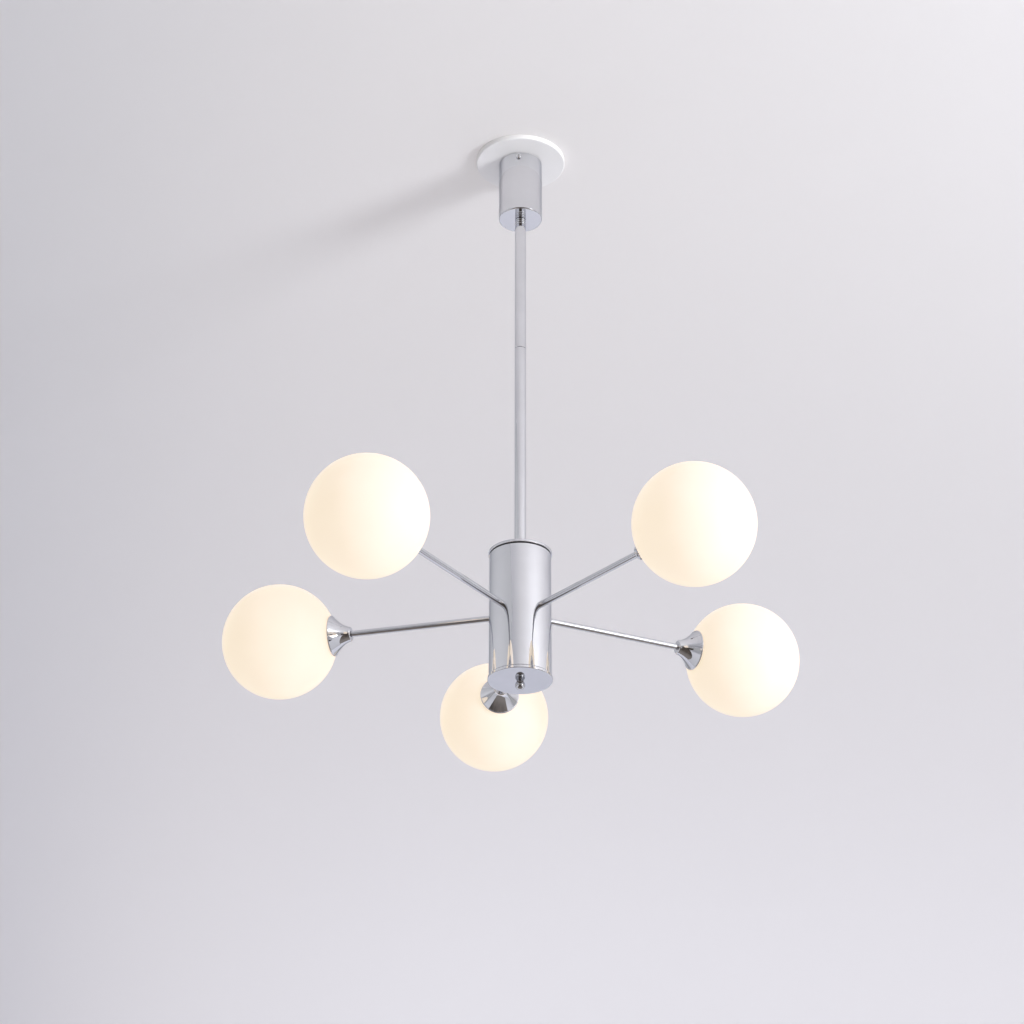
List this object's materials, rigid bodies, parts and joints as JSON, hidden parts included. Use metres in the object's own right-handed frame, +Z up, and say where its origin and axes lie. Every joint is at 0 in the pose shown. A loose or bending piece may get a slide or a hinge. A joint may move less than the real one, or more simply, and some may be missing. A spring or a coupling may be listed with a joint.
{
  "type": "multi arm chandelier",
  "caption": "Ceiling chandelier: a chromed hub on a rigid stem with radial arms, each carrying an opal glass ball that pulls off outwards; white ceiling plate, chromed canopy.",
  "frame": {"origin": "centre of the ceiling plate's upper face, where the lamp meets the ceiling, on the stem's axis", "axes": "+Z up along the stem, -Y towards the side with the visible canopy screw, +X to the right seen from there"},
  "size_m": [0.7511, 0.7335, 0.8119],
  "materials": {
    "chrome": "polished chrome plate",
    "zinc_steel": "zinc-plated steel",
    "brass": "plain turned brass",
    "white_plastic": "satin white",
    "wiring": "pale wire insulation",
    "ceramic": "unglazed white ceramic",
    "opal_glass": "satin opal glass, lit from inside",
    "bulb": "frosted, lit"
  },
  "bodies": {
    "ceiling_fitting": {"ceiling_plate": "white_plastic", "mounting_bracket": "zinc_steel", "plate_screw_1": "zinc_steel", "plate_screw_2": "zinc_steel", "terminal_block": "white_plastic", "canopy": "chrome", "canopy_screw_1": "chrome", "canopy_screw_2": "chrome", "canopy_nipple": "zinc_steel", "canopy_nut": "brass", "canopy_washer": "zinc_steel"},
    "fixture": {"stem_upper": "chrome", "stem_coupler": "zinc_steel", "stem_lower": "chrome", "hub_spindle": "zinc_steel", "hub_nut": "brass", "hub_washer": "zinc_steel", "hub_top_cap": "chrome", "hub_body": "chrome", "stem_cable": "wiring", "hub_wiring": "wiring", "arm_tube_1": "chrome", "arm_nut_1": "zinc_steel", "cup_1": "chrome", "lamp_holder_1": "ceramic", "arm_tube_2": "chrome", "arm_nut_2": "zinc_steel", "cup_2": "chrome", "lamp_holder_2": "ceramic", "arm_tube_3": "chrome", "arm_nut_3": "zinc_steel", "cup_3": "chrome", "lamp_holder_3": "ceramic", "arm_tube_4": "chrome", "arm_nut_4": "zinc_steel", "cup_4": "chrome", "lamp_holder_4": "ceramic", "arm_tube_5": "chrome", "arm_nut_5": "zinc_steel", "cup_5": "chrome", "lamp_holder_5": "ceramic"},
    "hub_cover": {"hub_bottom_cap": "chrome", "finial_screw": "chrome"},
    "shade_1": {"globe_1": "opal_glass", "neck_ring_1": "brass"},
    "lamp_1": {"bulb_1": "bulb"},
    "shade_2": {"globe_2": "opal_glass", "neck_ring_2": "brass"},
    "lamp_2": {"bulb_2": "bulb"},
    "shade_3": {"globe_3": "opal_glass", "neck_ring_3": "brass"},
    "lamp_3": {"bulb_3": "bulb"},
    "shade_4": {"globe_4": "opal_glass", "neck_ring_4": "brass"},
    "lamp_4": {"bulb_4": "bulb"},
    "shade_5": {"globe_5": "opal_glass", "neck_ring_5": "brass"},
    "lamp_5": {"bulb_5": "bulb"}
  },
  "joints": [
    {"name": "stem_turn", "type": "hinge", "parent": "ceiling_fitting", "child": "fixture", "pos_m": [0, 0, -0.1011], "axis": [0, 0, 1], "range_deg": [-170, 170]},
    {"name": "hub_cover_drop", "type": "slide", "parent": "fixture", "child": "hub_cover", "axis": [0, 0, -1], "range_m": [0, 0.03]},
    {"name": "globe_1_pull", "type": "slide", "parent": "fixture", "child": "shade_1", "axis": [-0.1115, 0.9938, 0], "range_m": [0, 0.075]},
    {"name": "bulb_1_pull", "type": "slide", "parent": "fixture", "child": "lamp_1", "axis": [-0.1115, 0.9938, 0], "range_m": [0, 0.025]},
    {"name": "globe_2_pull", "type": "slide", "parent": "fixture", "child": "shade_2", "axis": [-0.9694, 0.2453, 0], "range_m": [0, 0.075]},
    {"name": "bulb_2_pull", "type": "slide", "parent": "fixture", "child": "lamp_2", "axis": [-0.9694, 0.2453, 0], "range_m": [0, 0.025]},
    {"name": "globe_3_pull", "type": "slide", "parent": "fixture", "child": "shade_3", "axis": [-0.5621, -0.8271, 0], "range_m": [0, 0.075]},
    {"name": "bulb_3_pull", "type": "slide", "parent": "fixture", "child": "lamp_3", "axis": [-0.5621, -0.8271, 0], "range_m": [0, 0.025]},
    {"name": "globe_4_pull", "type": "slide", "parent": "fixture", "child": "shade_4", "axis": [0.6414, -0.7672, 0], "range_m": [0, 0.075]},
    {"name": "bulb_4_pull", "type": "slide", "parent": "fixture", "child": "lamp_4", "axis": [0.6414, -0.7672, 0], "range_m": [0, 0.025]},
    {"name": "globe_5_pull", "type": "slide", "parent": "fixture", "child": "shade_5", "axis": [0.91, 0.4147, 0], "range_m": [0, 0.075]},
    {"name": "bulb_5_pull", "type": "slide", "parent": "fixture", "child": "lamp_5", "axis": [0.91, 0.4147, 0], "range_m": [0, 0.025]}
  ]
}
